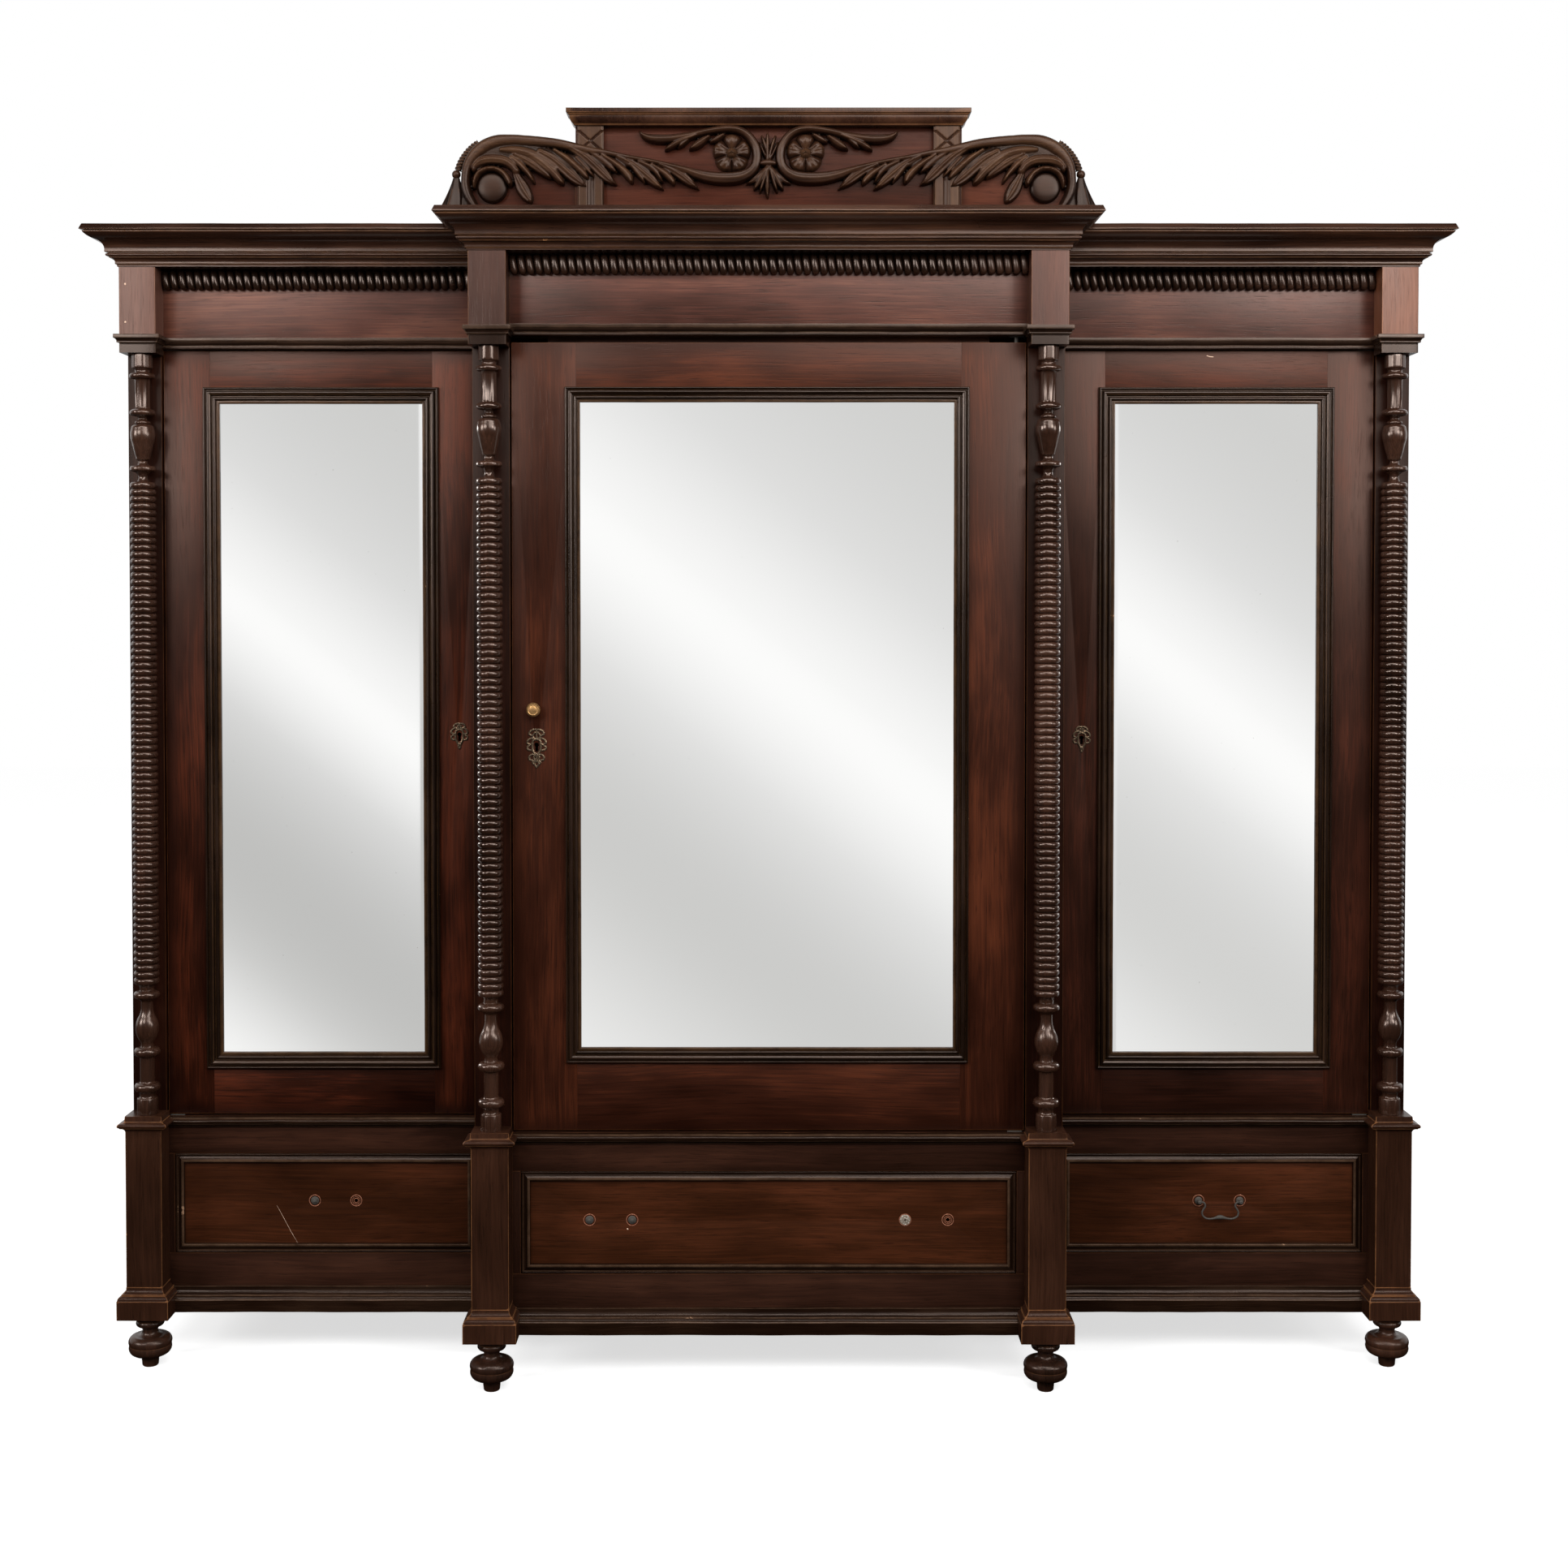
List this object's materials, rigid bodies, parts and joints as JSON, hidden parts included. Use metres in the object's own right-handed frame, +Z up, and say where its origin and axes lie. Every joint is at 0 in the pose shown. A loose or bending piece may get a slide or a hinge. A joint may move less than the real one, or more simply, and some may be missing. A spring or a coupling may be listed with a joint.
{
  "type": "three-door mirrored wardrobe",
  "caption": "Breakfront wardrobe with mirrored doors over drawers, turned bobbin columns, moulded cornice, carved crest and bun feet.",
  "frame": {"origin": "middle of the footprint's box, on the floor", "axes": "+X across the front to the viewer's right, -Y out of the front, +Z up"},
  "size_m": [2.438, 0.704, 2.256],
  "materials": {
    "polished_mahogany": "french polished",
    "ebonised_mahogany": "stained dark, waxed",
    "carcass_pine": "planed, unfinished",
    "silvered_mirror": "silvered plate glass",
    "blackened_iron": "blackened",
    "brass": "aged"
  },
  "bodies": {
    "root": {"framed_sides": "polished_mahogany", "partitions": "polished_mahogany", "back_boards": "carcass_pine", "case_boards": "carcass_pine", "pilaster_strips": "polished_mahogany", "base_rails": "polished_mahogany", "frieze_boards": "polished_mahogany", "plinth_mouldings": "ebonised_mahogany", "waist_and_architrave_mouldings": "ebonised_mahogany", "bobbin_mouldings": "ebonised_mahogany", "frieze_blocks": "polished_mahogany", "pedestals": "ebonised_mahogany", "turned_columns": "ebonised_mahogany", "bun_feet": "ebonised_mahogany", "cornice_mouldings": "ebonised_mahogany", "crest_board": "polished_mahogany", "crest_scrolls": "ebonised_mahogany", "crest_rosettes_and_palmettes": "ebonised_mahogany", "crest_pilasters": "ebonised_mahogany", "crest_cap": "ebonised_mahogany", "pivot_pins": "brass", "door_stops_and_keeper": "carcass_pine", "shelves": "carcass_pine", "runners_and_cleats": "carcass_pine", "hanging_rail": "carcass_pine"},
    "left_door": {"left_door_frame": "polished_mahogany", "left_door_mirror": "silvered_mirror", "left_door_moulding": "ebonised_mahogany", "left_door_pivot_sockets": "brass", "left_door_lock": "blackened_iron", "left_door_escutcheon": "blackened_iron"},
    "left_lock_bolt": {"left_door_lock_bolt": "blackened_iron"},
    "left_drawer": {"left_drawer_front": "polished_mahogany", "left_drawer_moulding": "ebonised_mahogany", "left_drawer_box": "carcass_pine", "left_drawer_old_bolts": "blackened_iron"},
    "centre_door": {"centre_door_frame": "polished_mahogany", "centre_door_mirror": "silvered_mirror", "centre_door_moulding": "ebonised_mahogany", "centre_door_pivot_sockets": "brass", "centre_door_lock": "blackened_iron", "centre_door_escutcheon": "blackened_iron", "centre_door_knob": "brass"},
    "centre_lock_bolt": {"centre_door_lock_bolt": "blackened_iron"},
    "centre_drawer": {"centre_drawer_front": "polished_mahogany", "centre_drawer_moulding": "ebonised_mahogany", "centre_drawer_box": "carcass_pine", "centre_drawer_old_bolts": "blackened_iron"},
    "right_door": {"right_door_frame": "polished_mahogany", "right_door_mirror": "silvered_mirror", "right_door_moulding": "ebonised_mahogany", "right_door_pivot_sockets": "brass", "right_door_lock": "blackened_iron", "right_door_escutcheon": "blackened_iron"},
    "right_lock_bolt": {"right_door_lock_bolt": "blackened_iron"},
    "right_drawer": {"right_drawer_front": "polished_mahogany", "right_drawer_moulding": "ebonised_mahogany", "right_drawer_box": "carcass_pine", "right_drawer_handle_posts": "blackened_iron"},
    "bail_handle": {"right_drawer_bail_handle": "blackened_iron"}
  },
  "joints": [
    {"name": "left_door_swing", "type": "hinge", "parent": "root", "child": "left_door", "pos_m": [-1.0855, -0.115, 1.15], "axis": [0, 0, -1], "range_deg": [0, 95]},
    {"name": "centre_door_swing", "type": "hinge", "parent": "root", "child": "centre_door", "pos_m": [0.4375, -0.235, 1.15], "axis": [0, 0, 1], "range_deg": [0, 95]},
    {"name": "right_door_swing", "type": "hinge", "parent": "root", "child": "right_door", "pos_m": [1.0855, -0.115, 1.15], "axis": [0, 0, 1], "range_deg": [0, 95]},
    {"name": "left_lock_bolt_throw", "type": "slide", "parent": "left_door", "child": "left_lock_bolt", "axis": [1, 0, 0], "range_m": [0, 0.009]},
    {"name": "centre_lock_bolt_throw", "type": "slide", "parent": "centre_door", "child": "centre_lock_bolt", "axis": [-1, 0, 0], "range_m": [0, 0.009]},
    {"name": "right_lock_bolt_throw", "type": "slide", "parent": "right_door", "child": "right_lock_bolt", "axis": [-1, 0, 0], "range_m": [0, 0.009]},
    {"name": "left_drawer_slide", "type": "slide", "parent": "root", "child": "left_drawer", "axis": [0, -1, 0], "range_m": [0, 0.3]},
    {"name": "centre_drawer_slide", "type": "slide", "parent": "root", "child": "centre_drawer", "axis": [0, -1, 0], "range_m": [0, 0.38]},
    {"name": "right_drawer_slide", "type": "slide", "parent": "root", "child": "right_drawer", "axis": [0, -1, 0], "range_m": [0, 0.3]},
    {"name": "bail_handle_lift", "type": "hinge", "parent": "right_drawer", "child": "bail_handle", "pos_m": [0.8284, -0.1324, 0.291], "axis": [-1, 0, 0], "range_deg": [0, 85]}
  ]
}
